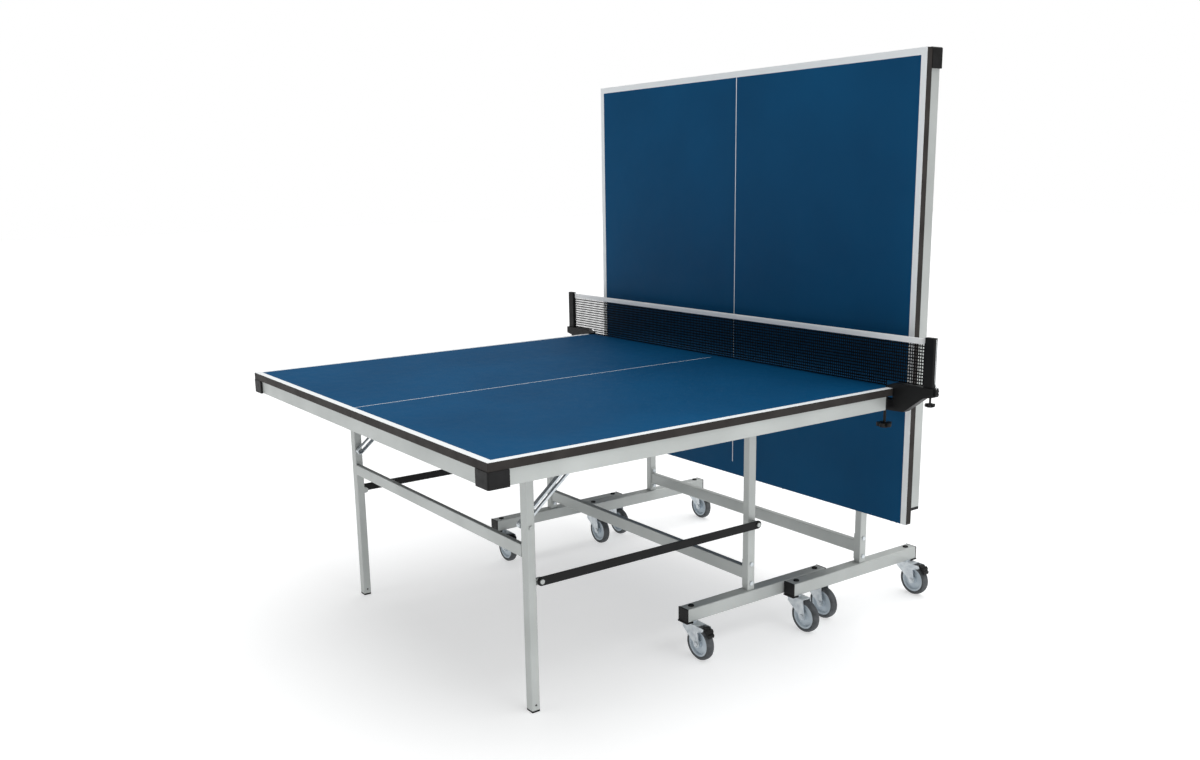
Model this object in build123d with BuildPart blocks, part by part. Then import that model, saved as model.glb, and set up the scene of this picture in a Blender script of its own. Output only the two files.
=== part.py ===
from build123d import *
from math import atan2, cos, degrees, hypot, radians, sin
import os

# A two-half roll-away table tennis table, one half open for play and the other folded up, in mm.
# The frame: X runs along the net, Y runs along the table and Z is up from the floor.
# Each half is drawn open, with its net edge on Y = 0 and its outer end towards -Y.

# Playing top
table_width = 1525
half_length = 1370
table_height = 760
board_thickness = 22
board_bottom = table_height - board_thickness

# Steel apron under the board's edge
apron_height = 40
apron_wide = 20
apron_inset = 5
apron_end_gap = 48
sheet_steel = 1.5
apron_bottom = board_bottom - apron_height
corner_reach = 57
corner_proud = 6.5

# Main pivots: the top turns on the posts, and the legs turn on the top
pivot_reach = 368
pivot_z = 698
pivot_pin = 5
lug_thick = 12
leg_reach = 1127.5
leg_x = 529
leg_pin = 4
leg_wide = 30
leg_deep = 25
leg_top = pivot_z + 15
foot_height = 6
foot_plug = 20
leg_bolt_z = 20
leg_bar_z = 440
leg_bar_tall = 35
leg_bar_deep = 15

# Undercarriage, set off centre so that the two halves' rails pass side by side
frame_offset = -21.5
post_spread = 535
post_reach = 346
post_wide = 25
post_deep = 28
post_top = 680
rail_wide = 40
rail_bottom = 110
rail_top = 150
rail_middle = 316
rail_length = 564
bar_z = 200
bar_tall = 40
bar_deep = 20
bolt_gap = 60

# Link rods that keep each leg upright
rod_near_reach = 343
rod_z = 359
rod_wide = 24
rod_thick = 4
rod_x = (547.5, -572.5)
rod_stud = 5
rod_head = 6.5
fold_span = leg_reach - pivot_reach
rod_far_reach = rod_near_reach + fold_span

# Slotted stays between the top and the legs
stay_drop = 192
stay_run = 228
stay_wide = 20
stay_deep = 14
stay_wall = 2
stay_face = 507.5
stay_slot = 8
stay_pin = 5
stay_reach = leg_reach - stay_run
stay_angle = degrees(atan2(stay_drop, stay_run))
stay_span = hypot(stay_drop, stay_run)

# Castors
castor_spread = 510
wheel_radius = 50
wheel_wide = 24
hub_radius = 39
trail = 42
fork_top = 104.5
fork_wide = 34
fork_plate = 2.5
crown_radius = 18
stem_radius = 5.5
stem_height = 34
axle_radius = 5
axle_nut = 8
axle_nut_thick = 4
pedal_pivot = (66, 99)
pedal_pin = 2.5
pedal_wide = 22
pedal_gap = 3
running = 0.05
open_pivot = 0.4

# Net set, clamped to the open half
net_reach = 14
net_height = 152.5
net_half = 857
net_thick = 1.6
net_lift = 2
post_inner = 862
post_outer = 895
clamp_deep = 26
clamp_x = 727
clamp_screw_radius = 4
clamp_pad_top = board_bottom - 0.3
clamp_pad_thick = 2
clamp_knob_bottom = apron_bottom - 60
clamp_knob_tall = 14
tension_x = 884
tension_screw_radius = 3
tension_screw_top = table_height + 8
tension_knob_bottom = table_height - 38
tension_knob_tall = 10

# Where the halves stand: the folded half is rolled in until its board stands behind the net
roll_in = 247
front_end = half_length + corner_proud - apron_inset
rear_end = rail_middle + rail_length / 2 + 6 - roll_in
net_y = (front_end - rear_end) / 2

front = Location((0, net_y, 0))
rear = Location((0, net_y - roll_in, 0), (0, 0, 180))


def turned(reach, height, angle):
    """The move that turns a piece about the X direction at a pivot, outer end up."""
    return (Location((0, -reach, height)) * Location((0, 0, 0), (-angle, 0, 0))
            * Location((0, reach, -height)))


# Every body has a move for each half: as drawn on the open half, and folded on the other one
raised = {
    "carriage": Location(),
    "top": turned(pivot_reach, pivot_z, 90),
    "legs": Location((0, fold_span, fold_span)),
    "rods": turned(rod_near_reach, rod_z, 90),
    "stays": turned(pivot_reach, pivot_z, 90) * turned(stay_reach, pivot_z, stay_angle),
}

os.makedirs("parts", exist_ok=True)


def save(name, *pieces):
    """Exports one node: one or more solids under one label."""
    solids = [s for piece in pieces for s in piece.solids()]
    node = Compound(solids) if len(solids) > 1 else Part(solids[0].wrapped)
    node.label = name
    export_step(node, f"parts/{name}.step")


def save_halves(name, body, *pieces):
    """Exports a node for each half, the rear one folded up."""
    save(f"front_{name}", *[front * piece for piece in pieces])
    save(f"rear_{name}", *[rear * raised[body] * piece for piece in pieces])


def box(x, y, z):
    """A plain block between pairs of limits."""
    with BuildPart() as block:
        with BuildSketch(Plane.XY.offset(min(z))):
            with Locations(((x[0] + x[1]) / 2, (y[0] + y[1]) / 2)):
                Rectangle(abs(x[1] - x[0]), abs(y[1] - y[0]))
        extrude(amount=abs(z[1] - z[0]))
    return block.part


def upright_tube(x, reach, wide, deep, low, high, crossings=()):
    """A vertical rectangular tube with rounded corners; crossings are (z, radius, reach) bolt holes."""
    with BuildPart() as tube:
        with BuildSketch(Plane.XY.offset(low)):
            with Locations((x, -reach)):
                RectangleRounded(wide, deep, 3)
                RectangleRounded(wide - 2 * sheet_steel, deep - 2 * sheet_steel, 1.5, mode=Mode.SUBTRACT)
        extrude(amount=high - low)
        for z, radius, at in crossings:
            with BuildSketch(Plane.YZ.offset(x - wide)):
                with Locations((-at, z)):
                    Circle(radius)
            extrude(amount=2 * wide, mode=Mode.SUBTRACT)
    return tube.part


def cross_tube(x, reach, z, deep, tall):
    """A rectangular tube along X."""
    with BuildPart() as tube:
        with BuildSketch(Plane.YZ.offset(min(x))):
            with Locations((-reach, z)):
                RectangleRounded(deep, tall, 2.5)
                RectangleRounded(deep - 2 * sheet_steel, tall - 2 * sheet_steel, 1, mode=Mode.SUBTRACT)
        extrude(amount=abs(x[1] - x[0]))
    return tube.part


def rod_x_way(x, reach, z, steps):
    """A turned pin along X: steps are (start, end, radius)."""
    with BuildPart() as pin:
        for start, end, radius in steps:
            with BuildSketch(Plane.YZ.offset(min(start, end))):
                with Locations((-reach, z)):
                    Circle(radius)
            extrude(amount=abs(end - start))
    return pin.part


# ---- Board: one 22 mm panel for each half
with BuildPart() as board:
    with BuildSketch(Plane.XY.offset(board_bottom)):
        with Locations((0, -half_length / 2)):
            Rectangle(table_width, half_length)
    extrude(amount=board_thickness)
    fillet(board.edges().filter_by(Axis.Z), 2)
    chamfer(board.faces().sort_by(Axis.Z)[-1].edges(), 0.5)
save_halves("board", "top", board.part)

# ---- Apron: a square tube round three sides, open towards the net
side_x = table_width / 2 - apron_inset
end_y = half_length - apron_inset
with BuildPart() as apron:
    for wall, mode in ((0, Mode.ADD), (sheet_steel, Mode.SUBTRACT)):
        with BuildSketch(Plane.XY.offset(apron_bottom + wall)):
            with BuildLine():
                Polyline(
                    (side_x - wall, -apron_end_gap), (side_x - wall, -end_y + wall),
                    (-side_x + wall, -end_y + wall), (-side_x + wall, -apron_end_gap),
                    (-side_x + apron_wide - wall, -apron_end_gap),
                    (-side_x + apron_wide - wall, -end_y + apron_wide - wall),
                    (side_x - apron_wide + wall, -end_y + apron_wide - wall),
                    (side_x - apron_wide + wall, -apron_end_gap), close=True)
            make_face()
        extrude(amount=apron_height - 2 * wall, mode=mode)
save_halves("apron", "top", apron.part)

# ---- Black plastic: the two corner protectors and the plugs in the apron's open ends
caps = []
for side in (-1, 1):
    with BuildPart() as corner:
        with BuildSketch(Plane.XY.offset(apron_bottom - 1.5)):
            outer_x, outer_y = side_x + corner_proud, end_y + corner_proud
            with BuildLine():
                Polyline(
                    (side * outer_x, -outer_y), (side * outer_x, -outer_y + corner_reach),
                    (side * (side_x + 0.2), -outer_y + corner_reach), (side * (side_x + 0.2), -end_y - 0.2),
                    (side * (outer_x - corner_reach), -end_y - 0.2),
                    (side * (outer_x - corner_reach), -outer_y), close=True)
            make_face()
            fillet(vertices().sort_by(lambda v: -side * v.X + v.Y)[0], 5)
        extrude(amount=apron_height + 1.2)
        # A lip closes the protector under the apron's corner
        with BuildSketch(Plane.XY.offset(apron_bottom - 1.5)):
            with Locations((side * (outer_x - corner_reach / 2), -outer_y + corner_reach / 2)):
                Rectangle(corner_reach - 12, corner_reach - 12)
        extrude(amount=1.3)
    plug = box((side * (side_x - apron_wide), side * side_x), (-apron_end_gap + 9, -apron_end_gap),
               (apron_bottom, board_bottom - 0.2))
    caps += [corner.part, plug]
save_halves("corner_caps", "top", *caps)


# ---- Pivot brackets under the board, with their bolts
def hanger(x, reach, half_gap, cheek, back, ahead, boss):
    """An inverted U screwed to the board: two cheeks and the web that joins them."""
    with BuildPart() as bracket:
        for face in (x - half_gap - cheek, x + half_gap):
            with BuildSketch(Plane.YZ.offset(face)):
                with BuildLine():
                    Polyline((-reach + back, board_bottom), (-reach - ahead, board_bottom),
                             (-reach - ahead, board_bottom - 12), (-reach - boss, pivot_z),
                             (-reach + boss if boss < back else -reach + back, pivot_z),
                             (-reach + back, board_bottom - 12), close=True)
                make_face()
                with Locations((-reach, pivot_z)):
                    Circle(boss)
            extrude(amount=cheek)
        with BuildSketch(Plane.XY.offset(board_bottom - 4)):
            with Locations((x, -reach + (back - ahead) / 2)):
                Rectangle(2 * (half_gap + cheek), back + ahead)
        extrude(amount=4)
    return bracket.part


brackets = []
for side in (-1, 1):
    post_x = frame_offset + side * post_spread
    brackets.append(hanger(post_x, pivot_reach, lug_thick / 2 + 0.5, 3, 10, 50, 10))
    brackets.append(rod_x_way(0, pivot_reach, pivot_z, (
        (post_x - 9.5, post_x + 9.5, pivot_pin), (post_x - side * 9.5, post_x - side * 14, 8),
        (post_x + side * 9.5, post_x + side * 12.5, 7))))
    brackets.append(hanger(side * leg_x, leg_reach, leg_wide / 2 + 0.5, 3, 16, 16, 12))
    brackets.append(rod_x_way(0, leg_reach, pivot_z, (
        (side * (leg_x - 19), side * (leg_x + 19), leg_pin),
        (side * (leg_x + 18.5), side * (leg_x + 23), 7))))
    # The stay hangs from a single ear on the inner side
    ear = stay_face - stay_deep - 3.5
    with BuildPart() as stay_ear:
        with BuildSketch(Plane.YZ.offset(min(side * (ear - 4), side * ear))):
            with BuildLine():
                Polyline((-stay_reach + 16, board_bottom), (-stay_reach - 9, board_bottom),
                         (-stay_reach - 9, pivot_z), (-stay_reach + 9, pivot_z), close=True)
            make_face()
            with Locations((-stay_reach, pivot_z)):
                Circle(9)
        extrude(amount=4)
        with BuildSketch(Plane.XY.offset(board_bottom - 4)):
            with Locations((side * (ear - 12), -stay_reach + 3.5)):
                Rectangle(24, 25)
        extrude(amount=4)
    brackets.append(stay_ear.part)
    brackets.append(rod_x_way(0, stay_reach, pivot_z, (
        (side * (ear - 7), side * (ear - 4), 6), (side * (ear - 4), side * (stay_face + 0.3), stay_pin),
        (side * ear, side * (stay_face - stay_wall - 0.5), 7.5),
        (side * (stay_face + 0.3), side * (stay_face + 2), 8))))
save_halves("brackets", "top", *brackets)

# ---- Posts: the tubes that carry the top, with a lug for its pivot and studs for the link rods
posts = []
for side, rod in ((1, rod_x[0]), (-1, rod_x[1])):
    post_x = frame_offset + side * post_spread
    posts.append(upright_tube(post_x, post_reach, post_wide, post_deep, rail_top, post_top))
    with BuildPart() as lug:
        with BuildSketch(Plane.YZ.offset(post_x - lug_thick / 2)):
            with BuildLine():
                Polyline((-post_reach + 10, post_top), (-post_reach - 14, post_top),
                         (-pivot_reach - 9, pivot_z - 4), (-pivot_reach + 4, pivot_z + 9), close=True)
            make_face()
            with Locations((-pivot_reach, pivot_z)):
                Circle(10)
                Circle(pivot_pin + running, mode=Mode.SUBTRACT)
        extrude(amount=lug_thick)
    posts.append(lug.part)
    face = post_x + side * post_wide / 2
    inner = rod - side * rod_thick / 2
    posts.append(rod_x_way(0, rod_near_reach, rod_z, (
        (face, inner - side * 0.5, 9), (inner - side * 0.5, rod + side * 2.5, rod_stud),
        (rod + side * 2.5, rod + side * 6, rod_head))))
save_halves("posts", "carriage", *posts)

# ---- Cross member between the posts: a tube with a flange plate at each end
ends = [frame_offset + side * (post_spread - post_wide / 2) for side in (-1, 1)]
bar_parts = [cross_tube((ends[0] + 3, ends[1] - 3), post_reach, bar_z, bar_deep, bar_tall)]
for end, way in zip(ends, (1, -1)):
    bar_parts.append(box(
        (end, end + way * 3), (-post_reach - 11, -post_reach + 11), (bar_z - 42, bar_z + 42)))
save_halves("cross_member", "carriage", *bar_parts)

# ---- Frame bolts through the posts
bolts = []
for side in (-1, 1):
    face = frame_offset + side * (post_spread + post_wide / 2)
    back = frame_offset + side * (post_spread - post_wide / 2) - side * 3
    for z in (bar_z - bolt_gap / 2, bar_z + bolt_gap / 2):
        bolts.append(rod_x_way(0, post_reach, z, ((face, face + side * 3, 6.5),)))
        bolts.append(rod_x_way(0, post_reach, z, ((back, back - side * 5, 6),)))
save_halves("frame_bolts", "carriage", *bolts)

# ---- Foot rails that carry the castors
rail_ends = (rail_middle - rail_length / 2, rail_middle + rail_length / 2)
stems = (rail_middle - castor_spread / 2, rail_middle + castor_spread / 2)
rails, rail_caps = [], []
for side in (-1, 1):
    rail_x = frame_offset + side * post_spread
    with BuildPart() as rail:
        with BuildSketch(Plane.XZ.offset(rail_ends[0])):
            with Locations((rail_x, (rail_bottom + rail_top) / 2)):
                RectangleRounded(rail_wide, rail_top - rail_bottom, 3)
                RectangleRounded(rail_wide - 4, rail_top - rail_bottom - 4, 1.5, mode=Mode.SUBTRACT)
        extrude(amount=rail_length)
        with BuildSketch(Plane.XY.offset(rail_bottom - 1)):
            with Locations(*[(rail_x, -reach) for reach in stems]):
                Circle(stem_radius + running)
        extrude(amount=4, mode=Mode.SUBTRACT)
    rails.append(rail.part)
    for reach, way in ((rail_ends[0], -1), (rail_ends[1], 1)):
        outer = reach + way * 4
        # A square end plug with a lip that wraps under the rail
        with BuildPart() as plug:
            with BuildSketch(Plane.XY.offset(rail_bottom)):
                with Locations((rail_x, -(reach + outer) / 2)):
                    Rectangle(rail_wide, 4)
            extrude(amount=rail_top - rail_bottom)
            with BuildSketch(Plane.XY.offset(rail_bottom - 4)):
                with Locations((rail_x, -(reach - way * 6))):
                    Rectangle(rail_wide + 2, 24)
                with Locations(*[(rail_x, -stem) for stem in stems]):
                    Circle(crown_radius + 1, mode=Mode.SUBTRACT)
            extrude(amount=4)
        rail_caps.append(plug.part)
    for reach in stems:
        with BuildPart() as bolt_cap:
            with BuildSketch(Plane.XY.offset(rail_top)):
                with Locations((rail_x, -reach)):
                    Circle(9)
            extrude(amount=4)
            fillet(bolt_cap.edges().sort_by(Axis.Z)[-1], 2.5)
        rail_caps.append(bolt_cap.part)
save_halves("rails", "carriage", *rails)
save_halves("rail_caps", "carriage", *rail_caps)

# ---- Folding legs: two tubes and the tube that joins them, with a lug behind each for its link rod
legs = []
for side, rod in ((1, rod_x[0]), (-1, rod_x[1])):
    legs.append(upright_tube(side * leg_x, leg_reach, leg_wide, leg_deep, foot_height, leg_top,
                             ((pivot_z, leg_pin + running, leg_reach), (leg_bolt_z, 3, leg_reach))))
    outer = side * (leg_x + leg_wide / 2)
    with BuildPart() as rod_lug:
        with BuildSketch(Plane.YZ.offset(min(outer, outer - side * 9))):
            with Locations((-rod_far_reach, rod_z)):
                Circle(9)
            with Locations((-(rod_far_reach + leg_reach - leg_deep / 2) / 2, rod_z)):
                Rectangle(leg_reach - leg_deep / 2 - rod_far_reach, 18)
        extrude(amount=9)
    legs.append(rod_lug.part)
    inner = rod - side * rod_thick / 2
    legs.append(rod_x_way(0, rod_far_reach, rod_z, (
        (outer, inner - side * 0.5, 7), (inner - side * 0.5, rod + side * 2.5, rod_stud),
        (rod + side * 2.5, rod + side * 6, rod_head))))
    # The stud that the stay's slot rides on, cut short beside the slot
    legs.append(rod_x_way(0, leg_reach, pivot_z - stay_drop, (
        (side * (leg_x - leg_wide / 2), side * (stay_face + 0.5), 7),)))
    legs.append(rod_x_way(0, leg_reach, pivot_z - stay_drop, ((outer, outer + side * 3, 6),)))
bar_reach = leg_reach + (leg_deep - leg_bar_deep) / 2
legs.append(cross_tube((-leg_x + leg_wide / 2, leg_x - leg_wide / 2), bar_reach, leg_bar_z,
                       leg_bar_deep, leg_bar_tall))
save_halves("legs", "legs", *legs)

# ---- Feet: a plug in each leg with the pad that stands on the floor
feet = []
for side in (-1, 1):
    with BuildPart() as foot:
        with BuildSketch():
            with Locations((side * leg_x, -leg_reach)):
                RectangleRounded(leg_wide, leg_deep, 3)
        extrude(amount=foot_height)
        chamfer(foot.faces().sort_by(Axis.Z)[0].edges(), 1)
        with BuildSketch(Plane.XY.offset(foot_height)):
            with Locations((side * leg_x, -leg_reach)):
                RectangleRounded(leg_wide - 2 * sheet_steel - 0.2, leg_deep - 2 * sheet_steel - 0.2, 2)
        extrude(amount=foot_plug)
    feet.append(foot.part)
save_halves("feet", "legs", *feet)

# ---- Link rods: flat bars with an eye at each end
rods = []
for x in rod_x:
    with BuildPart() as rod:
        with BuildSketch(Plane.YZ.offset(x - rod_thick / 2)):
            with Locations((-(rod_near_reach + rod_far_reach) / 2, rod_z)):
                SlotCenterToCenter(fold_span, rod_wide)
            with Locations((-rod_near_reach, rod_z)):
                Circle(rod_stud + running, mode=Mode.SUBTRACT)
            with Locations((-rod_far_reach, rod_z)):
                Circle(rod_stud + open_pivot, mode=Mode.SUBTRACT)
        extrude(amount=rod_thick)
    rods.append(rod.part)
save_halves("link_rods", "rods", *rods)

# ---- Stays: slotted channels, the slot in the web beside the leg
stays = []
for side in (-1, 1):
    slope = (0, -cos(radians(stay_angle)), -sin(radians(stay_angle)))
    along = Plane(origin=(0, -stay_reach, pivot_z), x_dir=slope, z_dir=(side, 0, 0))
    with BuildPart() as stay:
        with BuildSketch(along.offset(stay_face - stay_deep)):
            with Locations((stay_span / 2 + 1, 0)):
                SlotCenterToCenter(stay_span + 2, stay_wide)
        extrude(amount=stay_deep)
        with BuildSketch(along.offset(stay_face - stay_deep)):
            with Locations((stay_span / 2 + 1, 0)):
                SlotCenterToCenter(stay_span + 2, stay_wide - 2 * stay_wall)
        extrude(amount=stay_deep - stay_wall, mode=Mode.SUBTRACT)
        with BuildSketch(along.offset(stay_face - stay_wall)):
            Circle(stay_pin + running)
            slot = (stay_run - stay_drop - 6, stay_span + 3)
            with Locations(((slot[0] + slot[1]) / 2, 0)):
                SlotCenterToCenter(slot[1] - slot[0], stay_slot)
        extrude(amount=stay_wall, mode=Mode.SUBTRACT)
    stays.append(stay.part)
save_halves("stays", "stays", *stays)

# ---- Castor: fork with its stem and axle, hub, tyre and brake pedal, with the stem on the Z axis
arm_y = fork_wide / 2 - fork_plate
with BuildPart() as fork:
    with BuildSketch(Plane.XY.offset(fork_top - fork_plate)):
        with Locations((12, 0)):
            RectangleRounded(64, fork_wide, 8)
    extrude(amount=fork_plate)
    for near in (-fork_wide / 2, arm_y):
        with BuildSketch(Plane.XZ.offset(near)):
            with BuildLine():
                Polyline((-18, fork_top), (44, fork_top), (52, wheel_radius), (32, wheel_radius),
                         (-18, fork_top - 18), close=True)
            make_face()
            with Locations((trail, wheel_radius)):
                Circle(11)
        extrude(amount=fork_plate)
    with BuildSketch(Plane.XY.offset(fork_top)):
        Circle(crown_radius)
    extrude(amount=rail_bottom - 0.3 - fork_top)
    with BuildSketch(Plane.XY.offset(fork_top)):
        Circle(stem_radius)
    extrude(amount=stem_height)
    with BuildSketch(Plane.XZ.offset(-fork_wide / 2 - 1)):
        with Locations((trail, wheel_radius)):
            Circle(axle_radius)
    extrude(amount=fork_wide + 2)
    for start in (-fork_wide / 2 - axle_nut_thick, fork_wide / 2):
        with BuildSketch(Plane.XZ.offset(start)):
            with Locations((trail, wheel_radius)):
                RegularPolygon(axle_nut, 6)
        extrude(amount=axle_nut_thick)

# The braked fork also has two ears and a pin for the pedal
with BuildPart() as braked_fork:
    add(fork.part)
    for near in (-fork_wide / 2, arm_y):
        with BuildSketch(Plane.XZ.offset(near)):
            with BuildLine():
                Polyline((30, fork_top), (pedal_pivot[0], pedal_pivot[1] + 5),
                         (pedal_pivot[0], pedal_pivot[1] - 5), (40, 84), close=True)
            make_face()
            with Locations(pedal_pivot):
                Circle(5)
        extrude(amount=fork_plate)
    with BuildSketch(Plane.XZ.offset(-fork_wide / 2)):
        with Locations(pedal_pivot):
            Circle(pedal_pin)
    extrude(amount=fork_wide)

with BuildPart() as hub:
    with BuildSketch(Plane.XY):
        with BuildLine():
            half = wheel_wide / 2
            Polyline((axle_radius + running, -half - 1), (12, -half - 1), (12, -5), (30, -4),
                     (34, -half + 2), (hub_radius, -half + 2), (hub_radius, half - 2), (34, half - 2),
                     (30, 4), (12, 5), (12, half + 1), (axle_radius + running, half + 1), close=True)
        make_face()
    revolve(axis=Axis.Y)

with BuildPart() as tyre:
    with BuildSketch(Plane.XY):
        with BuildLine():
            Polyline((hub_radius + 0.02, -half + 1), (wheel_radius - 5, -half),
                     (wheel_radius - 1, -half + 4), (wheel_radius, -half + 8),
                     (wheel_radius, half - 8), (wheel_radius - 1, half - 4),
                     (wheel_radius - 5, half), (hub_radius + 0.02, half - 1), close=True)
        make_face()
    revolve(axis=Axis.Y)

with BuildPart() as pedal:
    with BuildSketch(Plane.XZ.offset(-pedal_wide / 2)):
        with BuildLine():
            shoe = wheel_radius + pedal_gap
            arc_start = (trail + shoe * cos(radians(64)), wheel_radius + shoe * sin(radians(64)))
            arc_middle = (trail + shoe * cos(radians(48)), wheel_radius + shoe * sin(radians(48)))
            arc_end = (trail + shoe * cos(radians(32)), wheel_radius + shoe * sin(radians(32)))
            ThreePointArc(arc_start, arc_middle, arc_end)
            Polyline(arc_end, (arc_end[0] + 2, arc_end[1] + 3), (89, 88), (85, 90), (86, 97), (81, 103),
                     (74, 101), (70, 105), (62, 105), arc_start)
        make_face()
        with Locations(pedal_pivot):
            Circle(pedal_pin + running, mode=Mode.SUBTRACT)
    extrude(amount=pedal_wide)
    fillet(pedal.edges().filter_by(Axis.Y).sort_by(Axis.X)[-2:], 1)

for half_name, place in (("front", front), ("rear", rear)):
    for side in (-1, 1):
        for end_name, reach in (("inner", stems[0]), ("outer", stems[1])):
            # Every castor trails towards +X
            stem = Location((place * Location((frame_offset + side * post_spread, -reach, 0))).position)
            axle = stem * Location((trail, 0, wheel_radius))
            side_name = "right" if stem.position.X > 0 else "left"
            name = f"{half_name}_{side_name}_{end_name}"
            save(f"{name}_fork", stem * (braked_fork.part if end_name == "outer" else fork.part))
            save(f"{name}_hub", axle * hub.part)
            save(f"{name}_tyre", axle * tyre.part)
            if end_name == "outer":
                save(f"{name}_pedal", stem * pedal.part)

# ---- Net set: posts on clamps at the net line of the open half
net_bottom = table_height + net_lift
net_top = table_height + net_height
net_line = -net_reach
edge = table_width / 2
with BuildPart() as net:
    with BuildSketch(Plane.XZ.offset(net_reach - net_thick / 2)):
        with BuildLine():
            # The lower edge steps up over the clamps
            Polyline((-net_half, net_top), (-net_half, table_height + 18), (-edge + 10, table_height + 18),
                     (-edge + 32, net_bottom), (edge - 32, net_bottom), (edge - 10, table_height + 18),
                     (net_half, table_height + 18), (net_half, net_top), close=True)
        make_face()
    extrude(amount=net_thick)
save("net", front * net.part)

net_posts = []
for side_name, side in (("right", 1), ("left", -1)):
    with BuildPart() as net_post:
        with BuildSketch(Plane.XZ.offset(net_reach - clamp_deep / 2)):
            with BuildLine():
                Polyline(
                    (side * (edge - 26), table_height + 0.3), (side * (edge - 26), table_height + 5),
                    (side * (edge + 6), table_height + 16), (side * (post_outer + 6), table_height + 16),
                    (side * (post_outer + 6), table_height - 8), (side * 870, table_height - 14),
                    (side * 803, apron_bottom - 2), (side * (clamp_x - 10), apron_bottom - 6),
                    (side * (clamp_x - 10), apron_bottom + 28), (side * (edge + 1), apron_bottom + 28),
                    (side * (edge + 1), table_height + 0.3), close=True)
            make_face()
        extrude(amount=clamp_deep)
        # Threaded holes for the clamp screw and the tension screw
        with BuildSketch(Plane.XY.offset(apron_bottom - 10)):
            with Locations((side * clamp_x, net_line)):
                Circle(clamp_screw_radius + running)
        extrude(amount=40, mode=Mode.SUBTRACT)
        with BuildSketch(Plane.XY.offset(table_height - 60)):
            with Locations((side * tension_x, net_line)):
                Circle(tension_screw_radius + running)
        extrude(amount=70, mode=Mode.SUBTRACT)
        # The upright post with a rounded head
        with BuildSketch(Plane.XY.offset(table_height + 16)):
            with Locations((side * (post_inner + post_outer) / 2, net_line)):
                RectangleRounded(post_outer - post_inner, 15, 3)
        extrude(amount=net_height - 12)
    net_posts.append(front * net_post.part)

    # Clamp screw: its pad bears on the board from below
    with BuildPart() as clamp_screw:
        for low, high, radius in (
                (clamp_knob_bottom + 8, clamp_pad_top - clamp_pad_thick, clamp_screw_radius),
                (clamp_pad_top - clamp_pad_thick, clamp_pad_top, 9),
                (clamp_knob_bottom, clamp_knob_bottom + clamp_knob_tall, 12)):
            with BuildSketch(Plane.XY.offset(low)):
                with Locations((side * clamp_x, net_line)):
                    Circle(radius)
            extrude(amount=high - low)
        with BuildSketch(Plane.XY.offset(clamp_knob_bottom + 3)):
            with Locations((side * clamp_x, net_line)):
                with PolarLocations(15, 5):
                    Circle(8)
        extrude(amount=clamp_knob_tall - 3)
    save(f"clamp_screw_{side_name}", front * clamp_screw.part)

    # Tension screw under the post
    with BuildPart() as tension_screw:
        knob_top = tension_knob_bottom + tension_knob_tall
        for low, high, radius in (
                (knob_top, tension_screw_top, tension_screw_radius), (tension_knob_bottom, knob_top, 9)):
            with BuildSketch(Plane.XY.offset(low)):
                with Locations((side * tension_x, net_line)):
                    Circle(radius)
            extrude(amount=high - low)
        with BuildSketch(Plane.XY.offset(tension_knob_bottom + 2)):
            with Locations((side * tension_x, net_line)):
                with PolarLocations(11, 6):
                    Circle(4)
        extrude(amount=tension_knob_tall - 3)
    save(f"tension_screw_{side_name}", front * tension_screw.part)

save("net_posts", *net_posts)
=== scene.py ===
import bpy
import bmesh
import math
from mathutils import Vector, Matrix


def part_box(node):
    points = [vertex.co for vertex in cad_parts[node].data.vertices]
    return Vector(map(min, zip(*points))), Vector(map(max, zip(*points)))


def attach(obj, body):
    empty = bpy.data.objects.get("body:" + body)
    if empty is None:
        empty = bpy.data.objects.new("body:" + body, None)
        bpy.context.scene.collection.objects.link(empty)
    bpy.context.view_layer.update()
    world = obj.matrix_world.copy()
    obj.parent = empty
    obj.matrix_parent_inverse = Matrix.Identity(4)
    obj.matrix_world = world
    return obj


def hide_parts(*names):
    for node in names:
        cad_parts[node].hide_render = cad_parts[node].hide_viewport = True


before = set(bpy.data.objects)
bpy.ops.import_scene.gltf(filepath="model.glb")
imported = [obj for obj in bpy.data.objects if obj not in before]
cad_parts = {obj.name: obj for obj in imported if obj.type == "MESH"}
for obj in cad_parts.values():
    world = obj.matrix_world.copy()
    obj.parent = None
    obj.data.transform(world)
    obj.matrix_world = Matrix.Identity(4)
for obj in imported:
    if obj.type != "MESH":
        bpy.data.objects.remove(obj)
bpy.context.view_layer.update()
scene = bpy.context.scene
scene.view_settings.view_transform = "Standard"  # a white studio stays white

# Where the boards, the net and its posts are, in metres
frontLow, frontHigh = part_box("front_board")
rearLow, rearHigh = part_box("rear_board")
netLow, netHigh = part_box("net")
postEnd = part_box("net_posts")[1].x
netLine = (netLow.y + netHigh.y) / 2

# Places are in metres, angles in radians and the lens in millimetres
cameraSet = {
    "place": (2.80247, -2.02212, 1.36684), "heading": 0.96036, "tilt": 0.21784, "roll": -0.01884,
    "lens": 33.017, "sensor": 36.0, "shift": (0.01108, 0.03446), "farthest": 200,
}


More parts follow.
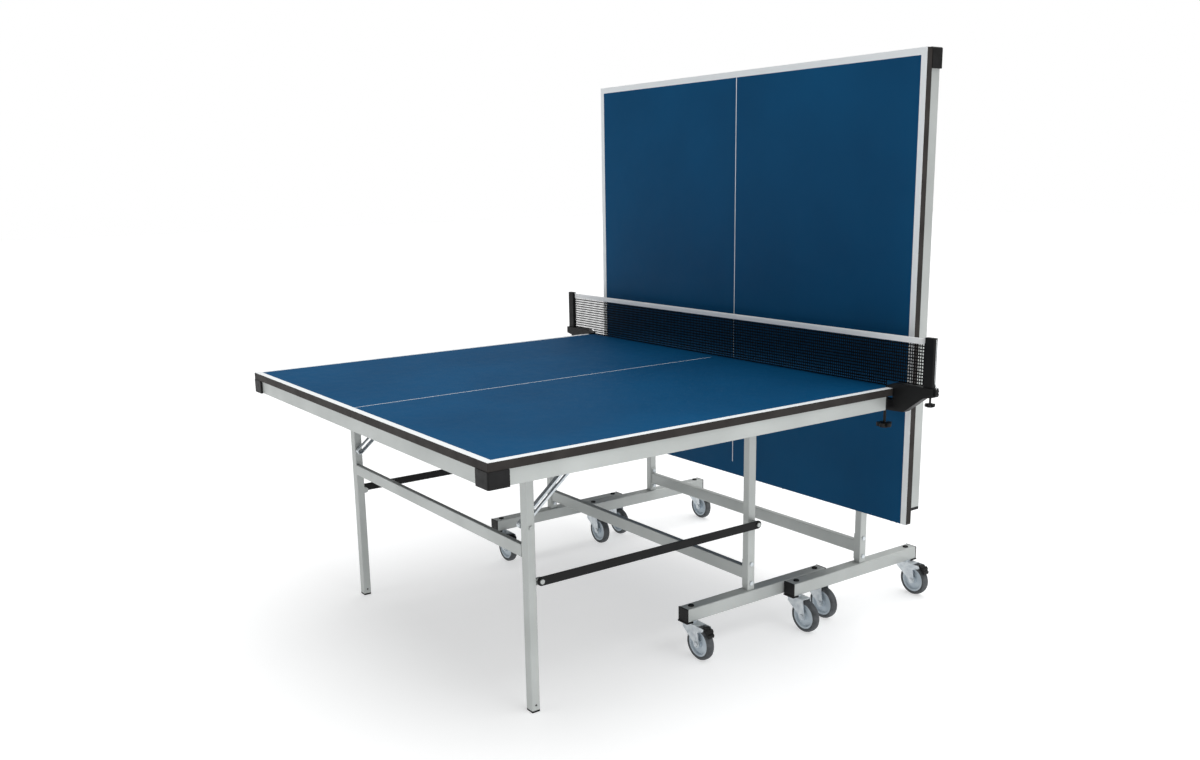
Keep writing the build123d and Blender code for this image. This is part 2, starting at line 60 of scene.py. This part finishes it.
# Here and below, s is the dictionary of settings that stands beside the function
def placeCamera(s):
    heading, tilt, roll = s["heading"], s["tilt"], s["roll"]
    level = Vector((math.cos(heading), math.sin(heading), 0))
    ahead = Vector((-math.sin(heading), math.cos(heading), 0))
    forward = ahead * math.cos(tilt) - Vector((0, 0, math.sin(tilt)))
    upward = level.cross(forward)
    across = level * math.cos(roll) + upward * math.sin(roll)
    upright = upward * math.cos(roll) - level * math.sin(roll)
    lensData = bpy.data.cameras.new("camera")
    lensData.sensor_fit = "HORIZONTAL"
    lensData.sensor_width = s["sensor"]
    lensData.lens = s["lens"]
    lensData.shift_x, lensData.shift_y = s["shift"]
    lensData.clip_end = s["farthest"]
    camera = bpy.data.objects.new("camera", lensData)
    turn = Matrix((across, upright, -forward)).transposed().to_4x4()
    camera.matrix_world = Matrix.Translation(s["place"]) @ turn
    scene.collection.objects.link(camera)
    scene.camera = camera


placeCamera(cameraSet)
print("camera placed")


def linear(hexColour):
    channels = [int(hexColour[i:i + 2], 16) / 255 for i in (1, 3, 5)]
    return [c / 12.92 if c <= 0.04045 else ((c + 0.055) / 1.055) ** 2.4 for c in channels] + [1.0]


# An input given as a socket is linked, and anything else is set as its value
def addNode(tree, kind, inputs=None, **settings):
    node = tree.nodes.new(kind)
    for key, value in settings.items():
        setattr(node, key, value)
    for key, value in (inputs or {}).items():
        if isinstance(value, bpy.types.NodeSocket):
            tree.links.new(value, node.inputs[key])
        else:
            node.inputs[key].default_value = value
    return node


def newMaterial(name):
    material = bpy.data.materials.new(name)
    material.use_nodes = True
    tree = material.node_tree
    tree.nodes.clear()
    return material, tree, addNode(tree, "ShaderNodeTexCoord").outputs["Object"]


def finishMaterial(tree, looks):
    shader = addNode(tree, "ShaderNodeBsdfPrincipled", looks)
    addNode(tree, "ShaderNodeOutputMaterial", {"Surface": shader.outputs["BSDF"]})


cloudRange = (0.3, 0.7)  # nearly all of the noise lies between these


# Soft uneven patches of about this size, running from low to high
def unevenness(tree, where, millimetres, low=0.0, high=1.0, detail=3.0):
    cloud = addNode(tree, "ShaderNodeTexNoise", {
        "Vector": where, "Scale": 1000 / millimetres, "Detail": detail})
    ranged = addNode(tree, "ShaderNodeMapRange", {
        "Value": cloud.outputs["Fac"], "From Min": cloudRange[0], "From Max": cloudRange[1],
        "To Min": low, "To Max": high})
    return ranged.outputs["Result"]


# Inputs 6 and 7 of a colour mix are its two colours, and output 2 is the result
def coatedFinish(s):
    material, tree, where = newMaterial(s["name"])
    colour = addNode(tree, "ShaderNodeMix", {
        "Factor": unevenness(tree, where, s["toneSize"]), 6: linear(s["dark"]), 7: linear(s["light"])},
        data_type="RGBA")
    relief = addNode(tree, "ShaderNodeBump", {
        "Height": unevenness(tree, where, s["grainSize"], detail=2), "Strength": s["relief"],
        "Distance": s["grainDepth"] / 1000})
    finishMaterial(tree, {
        "Base Color": colour.outputs[2], "Normal": relief.outputs["Normal"],
        "Roughness": unevenness(tree, where, s["glossSize"], *s["rough"], 2), **s["looks"]})
    return material


# Sizes are in millimetres. The finest grains are drawn coarser than they are, so that they show.
finishSet = {
    # polyester powder baked on steel tube: even and satin, with a faint orange peel
    "silverCoat": {
        "name": "powder coated steel, silver grey", "dark": "#adb1af", "light": "#bfc3c1", "toneSize": 260,
        "glossSize": 60, "rough": (0.36, 0.46), "grainSize": 2.6, "relief": 0.10, "grainDepth": 0.12,
        "looks": {"Metallic": 0.25}},
    # bright zinc on pressed steel: cool and silvery, with cloudy passivated patches
    "zincPlate": {
        "name": "zinc plated steel", "dark": "#bcc4ca", "light": "#e0e5e8", "toneSize": 14,
        "glossSize": 9, "rough": (0.32, 0.48), "grainSize": 1.2, "relief": 0.08, "grainDepth": 0.08,
        "looks": {"Metallic": 0.6}},
    # the same powder in black: deep, with a soft sheen
    "blackCoat": {
        "name": "powder coated steel, black", "dark": "#0b0b0c", "light": "#141516", "toneSize": 120,
        "glossSize": 30, "rough": (0.38, 0.50), "grainSize": 1.6, "relief": 0.16, "grainDepth": 0.12,
        "looks": {"Specular IOR Level": 0.2}},
    # polypropylene from a spark-eroded mould: matt, with fine grit
    "blackPlastic": {
        "name": "moulded polypropylene, black", "dark": "#0f0f0f", "light": "#1a1a1b", "toneSize": 40,
        "glossSize": 16, "rough": (0.42, 0.58), "grainSize": 1.0, "relief": 0.22, "grainDepth": 0.12,
        "looks": {"IOR": 1.49, "Specular IOR Level": 0.22}},
    # polypropylene from a polished mould: pale blue-grey, waxy
    "wheelPlastic": {
        "name": "moulded polypropylene, light grey", "dark": "#b3bfc9", "light": "#cad4db", "toneSize": 30,
        "glossSize": 12, "rough": (0.36, 0.50), "grainSize": 1.1, "relief": 0.12, "grainDepth": 0.08,
        "looks": {"IOR": 1.49}},
    # thermoplastic rubber tread: dull, scuffed and a little dusty
    "tyreRubber": {
        "name": "thermoplastic rubber, dark grey", "dark": "#3b3e41", "light": "#56595c", "toneSize": 18,
        "glossSize": 10, "rough": (0.60, 0.82), "grainSize": 1.4, "relief": 0.25, "grainDepth": 0.15,
        "looks": {"IOR": 1.52}},
    # knitted polyester yarn: black and furry, with hardly any shine
    "netYarn": {
        "name": "knitted polyester yarn, black", "dark": "#040405", "light": "#0b0c0e", "toneSize": 6,
        "glossSize": 3, "rough": (0.75, 0.90), "grainSize": 1.0, "relief": 0.5, "grainDepth": 0.15,
        "looks": {"Specular IOR Level": 0.1}},
    # braided nylon: pale, with the braid's small lumps
    "tensionCord": {
        "name": "braided nylon cord, pale grey", "dark": "#a9adaf", "light": "#d3d6d7", "toneSize": 4,
        "glossSize": 3, "rough": (0.60, 0.75), "grainSize": 0.8, "relief": 0.5, "grainDepth": 0.12,
        "looks": {"IOR": 1.53}},
}
finishes = {key: coatedFinish(s) for key, s in finishSet.items()}

# Sizes on the board are in metres, and those of its patches and its peel in millimetres
boardSet = {
    "halfWide": 0.7625, "halfLong": 1.370, "lineWidth": 0.020, "centreWidth": 0.003, "centreStart": 0.045,
    "skin": 0.0007, "rise": 0.0004, "blue": "#064c76", "blueDeep": "#05446b", "line": "#eef1f2",
    "band": "#2f2c2b", "bandLight": "#3b3836", "backing": "#34373a", "patch": 420, "bandPatch": 60,
    "glossPatch": 35, "rough": (0.46, 0.56), "peel": 2.2, "peelDepth": 0.08, "relief": 0.10, "gloss": 0.08,
}


# Lacquer rolled on chipboard: matt blue with the roller's fine peel, white lines round three sides, a dark
# plastic band on the edges and a grey balancing sheet below. Each place on the board chooses its colour.
def boardFinish(name, reachAxis, netEdge, reachSign, faceAxis, face, faceSign, s):
    material, tree, where = newMaterial(name)
    parts = addNode(tree, "ShaderNodeSeparateXYZ", {"Vector": where}).outputs
    steps = (
        ("away", "SUBTRACT", parts[reachAxis], netEdge),
        ("reach", "MULTIPLY", "away", reachSign),
        ("across", "ABSOLUTE", parts["X"], 0),
        ("above", "SUBTRACT", parts[faceAxis], face - faceSign * s["rise"]),
        ("proud", "MULTIPLY", "above", faceSign),
        ("onFace", "GREATER_THAN", "proud", 0),
        ("offFace", "SUBTRACT", 1, "onFace"),
        ("sideLine", "GREATER_THAN", "across", s["halfWide"] - s["lineWidth"]),
        ("endLine", "GREATER_THAN", "reach", s["halfLong"] - s["lineWidth"]),
        ("middle", "LESS_THAN", "across", s["centreWidth"] / 2),
        ("pastNet", "GREATER_THAN", "reach", s["centreStart"]),
        ("centreLine", "MULTIPLY", "middle", "pastNet"),
        ("border", "MAXIMUM", "sideLine", "endLine"),
        ("painted", "MAXIMUM", "border", "centreLine"),
        ("lines", "MULTIPLY", "painted", "onFace"),
        ("sideEdge", "GREATER_THAN", "across", s["halfWide"] - s["skin"]),
        ("outerEdge", "GREATER_THAN", "reach", s["halfLong"] - s["skin"]),
        ("innerEdge", "LESS_THAN", "reach", s["skin"]),
        ("endEdges", "MAXIMUM", "outerEdge", "innerEdge"),
        ("edge", "MAXIMUM", "sideEdge", "endEdges"),
    )
    marks = {}
    for mark, operation, first, second in steps:
        pair = [marks[v] if isinstance(v, str) else v for v in (first, second)]
        sums = addNode(tree, "ShaderNodeMath", {0: pair[0], 1: pair[1]}, operation=operation)
        marks[mark] = sums.outputs[0]
    layers = (
        ("blue", unevenness(tree, where, s["patch"], detail=4), linear(s["blueDeep"]), linear(s["blue"])),
        ("lined", marks["lines"], "blue", linear(s["line"])),
        ("band", unevenness(tree, where, s["bandPatch"]), linear(s["band"]), linear(s["bandLight"])),
        ("rim", marks["edge"], linear(s["backing"]), "band"),
        ("whole", marks["offFace"], "lined", "rim"),
    )
    for layer, factor, first, second in layers:
        pair = [marks[v] if isinstance(v, str) else v for v in (first, second)]
        mix = addNode(tree, "ShaderNodeMix", {"Factor": factor, 6: pair[0], 7: pair[1]}, data_type="RGBA")
        marks[layer] = mix.outputs[2]
    relief = addNode(tree, "ShaderNodeBump", {
        "Height": unevenness(tree, where, s["peel"], detail=2), "Strength": s["relief"],
        "Distance": s["peelDepth"] / 1000})
    finishMaterial(tree, {
        "Base Color": marks["whole"], "Normal": relief.outputs["Normal"], "Specular IOR Level": s["gloss"],
        "Roughness": unevenness(tree, where, s["glossPatch"], *s["rough"])})
    return material


finishes["front_board"] = boardFinish("rolled lacquer on chipboard, open half", "Y", frontHigh.y, -1.0,
                                      "Z", frontHigh.z, 1.0, boardSet)
finishes["rear_board"] = boardFinish("rolled lacquer on chipboard, folded half", "Z", rearLow.z, 1.0,
                                     "Y", rearLow.y, -1.0, boardSet)

tapeWeave = {
    # the first tape colour is painted shade for the dips between the threads, and the second is the raised
    # threads' white
    "thread": 1.6, "uneven": 0.4, "grooveShade": "#e2e4e5", "light": "#fbfbfa", "relief": 0.5, "depth": 0.3,
    "looks": {"IOR": 1.45, "Roughness": 0.85, "Sheen Weight": 0.2},
}


# Plain woven cotton tape: white and dull, its threads drawn 1.6 mm apart so that they show, with painted
# shade darkening the grooves between them
def tapeFinish(s):
    material, tree, where = newMaterial("woven cotton tape, white")
    threads = [addNode(tree, "ShaderNodeTexWave", {
        "Vector": where, "Scale": 1000 / s["thread"] / (2 * math.pi), "Distortion": s["uneven"], "Detail": 1},
        bands_direction=way).outputs["Fac"] for way in ("X", "Z")]
    weave = addNode(tree, "ShaderNodeMath", {0: threads[0], 1: threads[1]}, operation="MULTIPLY").outputs[0]
    # painted shade: the tape's white is mixed towards grey wherever the weave dips between threads
    colour = addNode(tree, "ShaderNodeMix", {"Factor": weave, 6: linear(s["grooveShade"]), 7: linear(s["light"])},
                     data_type="RGBA")
    relief = addNode(tree, "ShaderNodeBump", {
        "Height": weave, "Strength": s["relief"], "Distance": s["depth"] / 1000})
    finishMaterial(tree, {
        "Base Color": colour.outputs[2], "Normal": relief.outputs["Normal"], **s["looks"]})
    return material


finishes["tape"] = tapeFinish(tapeWeave)

# The endings of the names of the CAD nodes that each finish goes on
nodeEndings = {
    "front_board": ("front_board",),
    "rear_board": ("rear_board",),
    "silverCoat": ("apron", "posts", "cross_member", "rails", "legs"),
    "zincPlate": ("brackets", "frame_bolts", "stays", "fork"),
    "blackCoat": ("link_rods", "net_posts"),
    "blackPlastic": ("corner_caps", "rail_caps", "feet", "pedal", "clamp_screw_left", "clamp_screw_right",
                     "tension_screw_left", "tension_screw_right"),
    "wheelPlastic": ("hub",),
    "tyreRubber": ("tyre",),
    "netYarn": ("net",),
}
finishOf = {ending: finish for finish, endings in nodeEndings.items() for ending in endings}
longestFirst = sorted(finishOf, key=len, reverse=True)
for name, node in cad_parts.items():
    ending = next(key for key in longestFirst if name == key or name.endswith("_" + key))
    node.data.materials.clear()
    node.data.materials.append(finishes[finishOf[ending]])
print("finishes on", len(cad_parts), "nodes")


sameSpot = 1e-6  # corners closer than this are one corner


def newPiece(name, body, material, vertices, faces, smooth=False):
    mesh = bpy.data.meshes.new(name)
    mesh.from_pydata(vertices, [], faces)
    shape = bmesh.new()
    shape.from_mesh(mesh)
    bmesh.ops.remove_doubles(shape, verts=shape.verts, dist=sameSpot)
    bmesh.ops.recalc_face_normals(shape, faces=shape.faces)
    shape.to_mesh(mesh)
    shape.free()
    mesh.materials.append(material)
    mesh.polygons.foreach_set("use_smooth", [smooth] * len(mesh.polygons))
    piece = bpy.data.objects.new(name, mesh)
    scene.collection.objects.link(piece)
    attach(piece, body)
    return piece


# A Geometry Nodes tree with one named input for each size, and its finished geometry at the end
def newGrower(name, sizes):
    tree = bpy.data.node_groups.new(name, "GeometryNodeTree")
    tree.interface.new_socket("Geometry", in_out="INPUT", socket_type="NodeSocketGeometry")
    tree.interface.new_socket("Geometry", in_out="OUTPUT", socket_type="NodeSocketGeometry")
    for label, kind in sizes:
        tree.interface.new_socket(label, in_out="INPUT", socket_type="NodeSocket" + kind)
    return tree, addNode(tree, "NodeGroupInput").outputs


def finishGrower(tree, geometry, material):
    whole = addNode(tree, "GeometryNodeRealizeInstances", {"Geometry": geometry})
    painted = addNode(tree, "GeometryNodeSetMaterial", {"Geometry": whole.outputs[0], "Material": material})
    addNode(tree, "NodeGroupOutput", {"Geometry": painted.outputs[0]})


# Runs a tree on seed points, which may all face one way, and leaves a plain mesh
def grow(name, tree, values, points=(), facing=None):
    seeds = bpy.data.meshes.new(name + "Seeds")
    seeds.from_pydata(points, [], [])
    if facing:
        direction = seeds.attributes.new("facing", "FLOAT_VECTOR", "POINT")
        direction.data.foreach_set("vector", facing * len(points))
    piece = bpy.data.objects.new(name, seeds)
    scene.collection.objects.link(piece)
    modifier = piece.modifiers.new("grow", "NODES")
    modifier.node_group = tree
    for item in tree.interface.items_tree:
        if item.in_out == "INPUT" and item.name in values:
            modifier[item.identifier] = values[item.name]
    mesh = bpy.data.meshes.new_from_object(piece.evaluated_get(bpy.context.evaluated_depsgraph_get()))
    piece.modifiers.clear()
    piece.data = mesh
    return piece


# tapeFlank is one side of the folded tape: its share of half the thickness, and its depth below the top
netSet = {
    "cell": 0.008, "rowGap": 0.0095, "strand": 0.0018, "strandSides": 4, "thin": 0.42,
    "stepIn": 0.030, "stepUp": 0.018, "meet": 0.0004, "flat": (1.714, 0.1505), "area": 0.16,
    "tapeThick": 0.0028, "tapeTall": 0.017, "tapeLap": 0.004, "tapeSteps": 60,
    "tapeFlank": ((0.70, 0.0008), (1.00, 0.003), (1.00, 0.011), (0.75, 0.014), (1.00, 0.016), (0.80, 0.017)),
}


# A grid of flat knitted strands between four limits, standing on the net's line
def netGrower():
    tree, given = newGrower("netPanel", [
        ("Reach", "Float"), ("Bottom", "Float"), ("Top", "Float"), ("Line", "Float"), ("Columns", "Int"),
        ("Rows", "Int"), ("Strand", "Float"), ("Sides", "Int"), ("Thin", "Float"), ("Material", "Material")])
    left = addNode(tree, "ShaderNodeMath", {0: given["Reach"], 1: -1.0}, operation="MULTIPLY").outputs[0]
    width = addNode(tree, "ShaderNodeMath", {0: given["Reach"], 1: 2.0}, operation="MULTIPLY").outputs[0]
    height = addNode(tree, "ShaderNodeMath", {0: given["Top"], 1: given["Bottom"]}, operation="SUBTRACT")
    corners = {name: addNode(tree, "ShaderNodeCombineXYZ", {"X": x, "Y": given["Line"], "Z": z}).outputs[0]
               for name, x, z in (("lowLeft", left, given["Bottom"]), ("topLeft", left, given["Top"]),
                                  ("lowRight", given["Reach"], given["Bottom"]))}
    upward = addNode(tree, "ShaderNodeCombineXYZ", {"Z": height.outputs[0]}).outputs[0]
    sideways = addNode(tree, "ShaderNodeCombineXYZ", {"X": width}).outputs[0]
    both = addNode(tree, "GeometryNodeJoinGeometry")
    for stop, count, run in (("lowRight", "Columns", upward), ("topLeft", "Rows", sideways)):
        seats = addNode(tree, "GeometryNodeMeshLine", {
            "Count": given[count], "Start Location": corners["lowLeft"], "Offset": corners[stop]},
            mode="END_POINTS")
        strand = addNode(tree, "GeometryNodeCurvePrimitiveLine", {"End": run})
        laid = addNode(tree, "GeometryNodeInstanceOnPoints", {
            "Points": seats.outputs[0], "Instance": strand.outputs[0]})
        tree.links.new(laid.outputs[0], both.inputs[0])
    lines = addNode(tree, "GeometryNodeRealizeInstances", {"Geometry": both.outputs[0]})
    section = addNode(tree, "GeometryNodeCurvePrimitiveCircle", {
        "Resolution": given["Sides"], "Radius": given["Strand"]})
    cords = addNode(tree, "GeometryNodeCurveToMesh", {
        "Curve": lines.outputs[0], "Profile Curve": section.outputs[0], "Fill Caps": True})
    # The strands are flat, so the panel is pressed thin about the net's line
    press = addNode(tree, "ShaderNodeCombineXYZ", {"X": 1.0, "Y": given["Thin"], "Z": 1.0})
    slack = addNode(tree, "ShaderNodeMath", {0: 1.0, 1: given["Thin"]}, operation="SUBTRACT")
    back = addNode(tree, "ShaderNodeMath", {0: given["Line"], 1: slack.outputs[0]}, operation="MULTIPLY")
    shift = addNode(tree, "ShaderNodeCombineXYZ", {"Y": back.outputs[0]})
    flat = addNode(tree, "GeometryNodeTransform", {
        "Geometry": cords.outputs[0], "Translation": shift.outputs[0], "Scale": press.outputs[0]})
    finishGrower(tree, flat.outputs[0], given["Material"])
    return tree


# The tape is folded over the net's top, with a row of stitches pressed in near its two edges
def makeTape(s):
    half, steps = s["tapeThick"] / 2, s["tapeSteps"]
    outline = [(-half * share, -depth) for share, depth in reversed(s["tapeFlank"])] + [(0, 0)]
    outline += [(half * share, -depth) for share, depth in s["tapeFlank"]]
    ring = len(outline)
    vertices = []
    for i in range(steps + 1):
        x = netLow.x + (netHigh.x - netLow.x) * i / steps
        vertices += [(x, netLine + y, netHigh.z + z) for y, z in outline]
    faces = [tuple(range(ring)), tuple(range(steps * ring, (steps + 1) * ring))]
    for start in range(0, steps * ring, ring):
        for k in range(ring):
            after = (k + 1) % ring
            faces.append((start + k, start + after, start + ring + after, start + ring + k))
    return newPiece("net_tape", "front_top", finishes["tape"], vertices, faces, True)


# The net's full width hangs above the clamps, and a narrower panel reaches down to the board between them
def makeNet(s):
    tree = netGrower()
    columns = 2 * round(netHigh.x / s["cell"])
    pitch = 2 * netHigh.x / columns
    inner = pitch * math.floor((frontHigh.x - s["stepIn"]) / pitch)
    step = netLow.z + s["stepUp"]
    top = netHigh.z - s["tapeTall"] + s["tapeLap"]
    joined = bmesh.new()
    for reach, low, high in ((netHigh.x, step, top), (inner, netLow.z + s["strand"], step - s["meet"])):
        panel = grow("netPanel", tree, {
            "Reach": reach, "Bottom": low, "Top": high, "Line": netLine,
            "Columns": round(2 * reach / pitch) + 1, "Rows": round((high - low) / s["rowGap"]) + 1,
            "Strand": s["strand"], "Sides": s["strandSides"], "Thin": s["thin"],
            "Material": finishes["netYarn"]})
        joined.from_mesh(panel.data)
        bpy.data.objects.remove(panel)
    mesh = bpy.data.meshes.new("net_mesh")
    joined.to_mesh(mesh)
    joined.free()
    mesh.materials.append(finishes["netYarn"])
    net = bpy.data.objects.new("net_mesh", mesh)
    scene.collection.objects.link(net)
    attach(net, "front_top")
    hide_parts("net")
    makeTape(s)


makeNet(netSet)
print("net made")


# Every head has the same shape: shares of its radius and of its height
headShape = {"Washer": 1.35, "Washer Height": 0.3, "Washer Sides": 24, "Top": 0.72, "Sides": 20}


# A washer and a slightly tapered head on each seed point, facing the way that the point gives
def headGrower():
    tree, given = newGrower("screwHeads", [
        ("Radius", "Float"), ("Height", "Float"), ("Washer", "Float"), ("Washer Height", "Float"),
        ("Washer Sides", "Int"), ("Top", "Float"), ("Sides", "Int"), ("Material", "Material")])
    facing = addNode(tree, "GeometryNodeInputNamedAttribute", {"Name": "facing"}, data_type="FLOAT_VECTOR")
    turn = addNode(tree, "FunctionNodeAlignRotationToVector", {"Vector": facing.outputs[0]}, axis="Z")
    shares = (("Radius", "Washer"), ("Height", "Washer Height"), ("Radius", "Top"))
    washerRadius, washerHeight, topRadius = [
        addNode(tree, "ShaderNodeMath", {0: given[size], 1: given[share]}, operation="MULTIPLY").outputs[0]
        for size, share in shares]
    washer = addNode(tree, "GeometryNodeMeshCylinder", {
        "Vertices": given["Washer Sides"], "Radius": washerRadius, "Depth": washerHeight})
    head = addNode(tree, "GeometryNodeMeshCone", {
        "Vertices": given["Sides"], "Radius Top": topRadius, "Radius Bottom": given["Radius"],
        "Depth": given["Height"]})
    both = addNode(tree, "GeometryNodeJoinGeometry")
    for shape in (washer, head):
        tree.links.new(shape.outputs[0], both.inputs[0])
    laid = addNode(tree, "GeometryNodeInstanceOnPoints", {
        "Points": given["Geometry"], "Instance": both.outputs[0], "Rotation": turn.outputs[0]})
    finishGrower(tree, laid.outputs[0], given["Material"])
    return tree


headTree = headGrower()


def headRow(name, body, finish, s, points, facing):
    values = {"Radius": s["radius"], "Height": s["height"], "Material": finishes[finish], **headShape}
    heads = grow(name, headTree, values, points, facing)
    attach(heads, body)


screwSet = {"inset": 0.015, "first": 0.10, "gap": 0.19, "end": 1.355, "endCount": 7, "lift": 0.0004,
            "radius": 0.0035, "height": 0.0022}


# Screws through each apron into its board, given by side and by reach from the net edge
def apronScrews(s):
    sideCount = int((frontHigh.y - frontLow.y - s["first"]) / s["gap"])
    seats = [(side * (frontHigh.x - s["inset"]), s["first"] + i * s["gap"])
             for side in (-1, 1) for i in range(sideCount)]
    seats += [((i - s["endCount"] // 2) * s["gap"], s["end"]) for i in range(s["endCount"])]
    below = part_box("front_apron")[0].z - s["lift"]
    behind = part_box("rear_apron")[1].y + s["lift"]
    headRow("front_apron_screws", "front_top", "zincPlate", s,
            [(x, frontHigh.y - reach, below) for x, reach in seats], (0, 0, -1))
    headRow("rear_apron_screws", "rear_top", "zincPlate", s,
            [(x, behind, rearLow.z + reach) for x, reach in seats], (0, 1, 0))


apronScrews(screwSet)
bufferSet = {"across": (-0.72, -0.70, -0.24, 0.24, 0.70, 0.72), "lift": 0.0008,
             "radius": 0.005, "height": 0.003}


# Small buffers on each board's net edge
def edgeBuffers(s):
    frontMiddle = (frontLow.z + frontHigh.z) / 2
    rearMiddle = (rearLow.y + rearHigh.y) / 2
    headRow("front_buffers", "front_top", "blackPlastic", s,
            [(x, frontHigh.y + s["lift"], frontMiddle) for x in s["across"]], (0, 1, 0))
    headRow("rear_buffers", "rear_top", "blackPlastic", s,
            [(x, rearMiddle, rearLow.z - s["lift"]) for x in s["across"]], (0, 0, -1))


edgeBuffers(bufferSet)
print("screws and buffers made")

# The cord starts inside the tape, rises to lie on the post's head, and ends in the cleat
cordSet = {
    "radius": 0.0012, "start": 0.850, "dip": 0.004, "rise": 0.012, "level": 0.030, "lift": 0.0005,
    "postFace": 0.895, "turn": 0.001, "bend": 0.006, "foot": 0.79,
    "lastPoints": ((0.9030, 0.780), (0.9037, 0.7735)),
}


# From the tape's end, over the post's head and down its outer face to the cleat
def tensionCord(name, side, s):
    outer = s["postFace"] + s["radius"]
    top = netHigh.z + s["radius"] + s["lift"]
    route = [(s["start"], top - s["dip"]), (s["start"] + s["rise"], top), (s["start"] + s["level"], top),
             (outer - s["turn"], top), (outer, top - s["bend"]), (outer, (top + s["foot"]) / 2),
             (outer, s["foot"]), *s["lastPoints"]]
    curve = bpy.data.curves.new(name, "CURVE")
    curve.dimensions = "3D"
    line = curve.splines.new("NURBS")
    line.points.add(len(route) - 1)
    for point, (x, z) in zip(line.points, route):
        point.co = (side * x, netLine, z, 1)
    line.order_u = 3
    line.use_endpoint_u = True
    curve.bevel_depth = s["radius"]
    curve.bevel_resolution = 2
    curve.use_fill_caps = True
    holder = bpy.data.objects.new(name, curve)
    scene.collection.objects.link(holder)
    mesh = bpy.data.meshes.new_from_object(holder.evaluated_get(bpy.context.evaluated_depsgraph_get()))
    bpy.data.objects.remove(holder)
    mesh.materials.clear()
    mesh.materials.append(finishes["tensionCord"])
    piece = bpy.data.objects.new(name, mesh)
    scene.collection.objects.link(piece)
    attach(piece, "front_top")


# shoulder is a share of the cleat's height, and narrow of its width
cleatSet = {
    "tall": 0.020, "wide": 0.007, "deep": 0.014, "groove": 0.0025, "shoulder": 0.35, "narrow": 0.7,
    "middle": 0.7645, "sink": 0.0005, "soften": 0.0008, "softenSteps": 2,
}


# A moulded cleat on the post's outer foot, with a groove for the cord round its middle
def cordCleat(name, side, s):
    wide, half = s["wide"], s["tall"] / 2
    upper = [(wide - s["groove"], 0), (wide, s["groove"]), (wide, s["tall"] * s["shoulder"]),
             (wide * s["narrow"], half), (0, half)]
    outline = [(x, -z) for x, z in reversed(upper[1:])] + upper
    face = postEnd - s["sink"]
    vertices = [(side * (face + x), netLine + y, s["middle"] + z)
                for y in (-s["deep"] / 2, s["deep"] / 2) for x, z in outline]
    ring = len(outline)
    faces = [tuple(range(ring)), tuple(range(ring, 2 * ring))]
    faces += [(k, (k + 1) % ring, ring + (k + 1) % ring, ring + k) for k in range(ring)]
    cleat = newPiece(name, "front_top", finishes["blackPlastic"], vertices, faces)
    soften = cleat.modifiers.new("soften", "BEVEL")
    soften.width = s["soften"]
    soften.segments = s["softenSteps"]


for side, label in ((1, "right"), (-1, "left")):
    tensionCord("net_cord_" + label, side, cordSet)
    cordCleat("cord_clip_" + label, side, cleatSet)
print("cords and cleats made")

white = (1, 1, 1, 1)
# Each lamp's kind, place, aim, size and power: a sun's size is an angle in degrees, a panel's is in metres
lightSet = {
    "roomLight": 0.22, "backdrop": 1.0, "floorGlow": 0.52, "floorReach": 30, "floorRough": 0.6,
    "floorShade": "#cacbcc", "floorLight": "#cecfcf", "floorPatch": 2500,
    "lamps": (
        ("softCeiling", "SUN", (0.2, 1.2, 4.0), (0.0, 0.0, 0.0), 80, 2.7),
        ("frontFill", "AREA", (-1.5, -6.5, 2.6), (0.0, 0.0, 0.6), (4.5, 3.0), 70),
        ("sideFill", "AREA", (6.5, 0.5, 2.4), (0.3, 0.0, 0.6), (3.5, 3.0), 85),
    ),
}


# Matt studio paper, lit a little from behind so that the shadow under the table stays pale
def makeFloor(s):
    material, tree, where = newMaterial("matt studio paper, pale grey")
    colour = addNode(tree, "ShaderNodeMix", {
        "Factor": unevenness(tree, where, s["floorPatch"], detail=2), 6: linear(s["floorShade"]),
        7: linear(s["floorLight"])}, data_type="RGBA")
    finishMaterial(tree, {
        "Base Color": colour.outputs[2], "Roughness": s["floorRough"], "Emission Color": white,
        "Emission Strength": s["floorGlow"]})
    reach = s["floorReach"]
    mesh = bpy.data.meshes.new("floor")
    corners = [(-reach, -reach, 0), (reach, -reach, 0), (reach, reach, 0), (-reach, reach, 0)]
    mesh.from_pydata(corners, [], [(0, 1, 2, 3)])
    mesh.materials.append(material)
    floor = bpy.data.objects.new("floor", mesh)
    scene.collection.objects.link(floor)


# A white backdrop behind a softly lit room
def makeRoom(s):
    world = bpy.data.worlds.new("studio")
    scene.world = world
    world.use_nodes = True
    tree = world.node_tree
    tree.nodes.clear()
    rays = addNode(tree, "ShaderNodeLightPath")
    room = addNode(tree, "ShaderNodeBackground", {"Color": white, "Strength": s["roomLight"]})
    backdrop = addNode(tree, "ShaderNodeBackground", {"Color": white, "Strength": s["backdrop"]})
    shown = addNode(tree, "ShaderNodeMixShader", {
        0: rays.outputs["Is Camera Ray"], 1: room.outputs[0], 2: backdrop.outputs[0]})
    addNode(tree, "ShaderNodeOutputWorld", {"Surface": shown.outputs[0]})


def hangLamps(s):
    for name, kind, place, aim, size, power in s["lamps"]:
        lamp = bpy.data.lights.new(name, kind)
        lamp.energy = power
        if kind == "AREA":
            lamp.shape = "RECTANGLE"
            lamp.size, lamp.size_y = size
        else:
            lamp.angle = math.radians(size)
        holder = bpy.data.objects.new(name, lamp)
        holder.location = place
        holder.rotation_euler = (Vector(aim) - Vector(place)).to_track_quat("-Z", "Y").to_euler()
        scene.collection.objects.link(holder)


makeFloor(lightSet)
makeRoom(lightSet)
hangLamps(lightSet)
print("floor and light made")
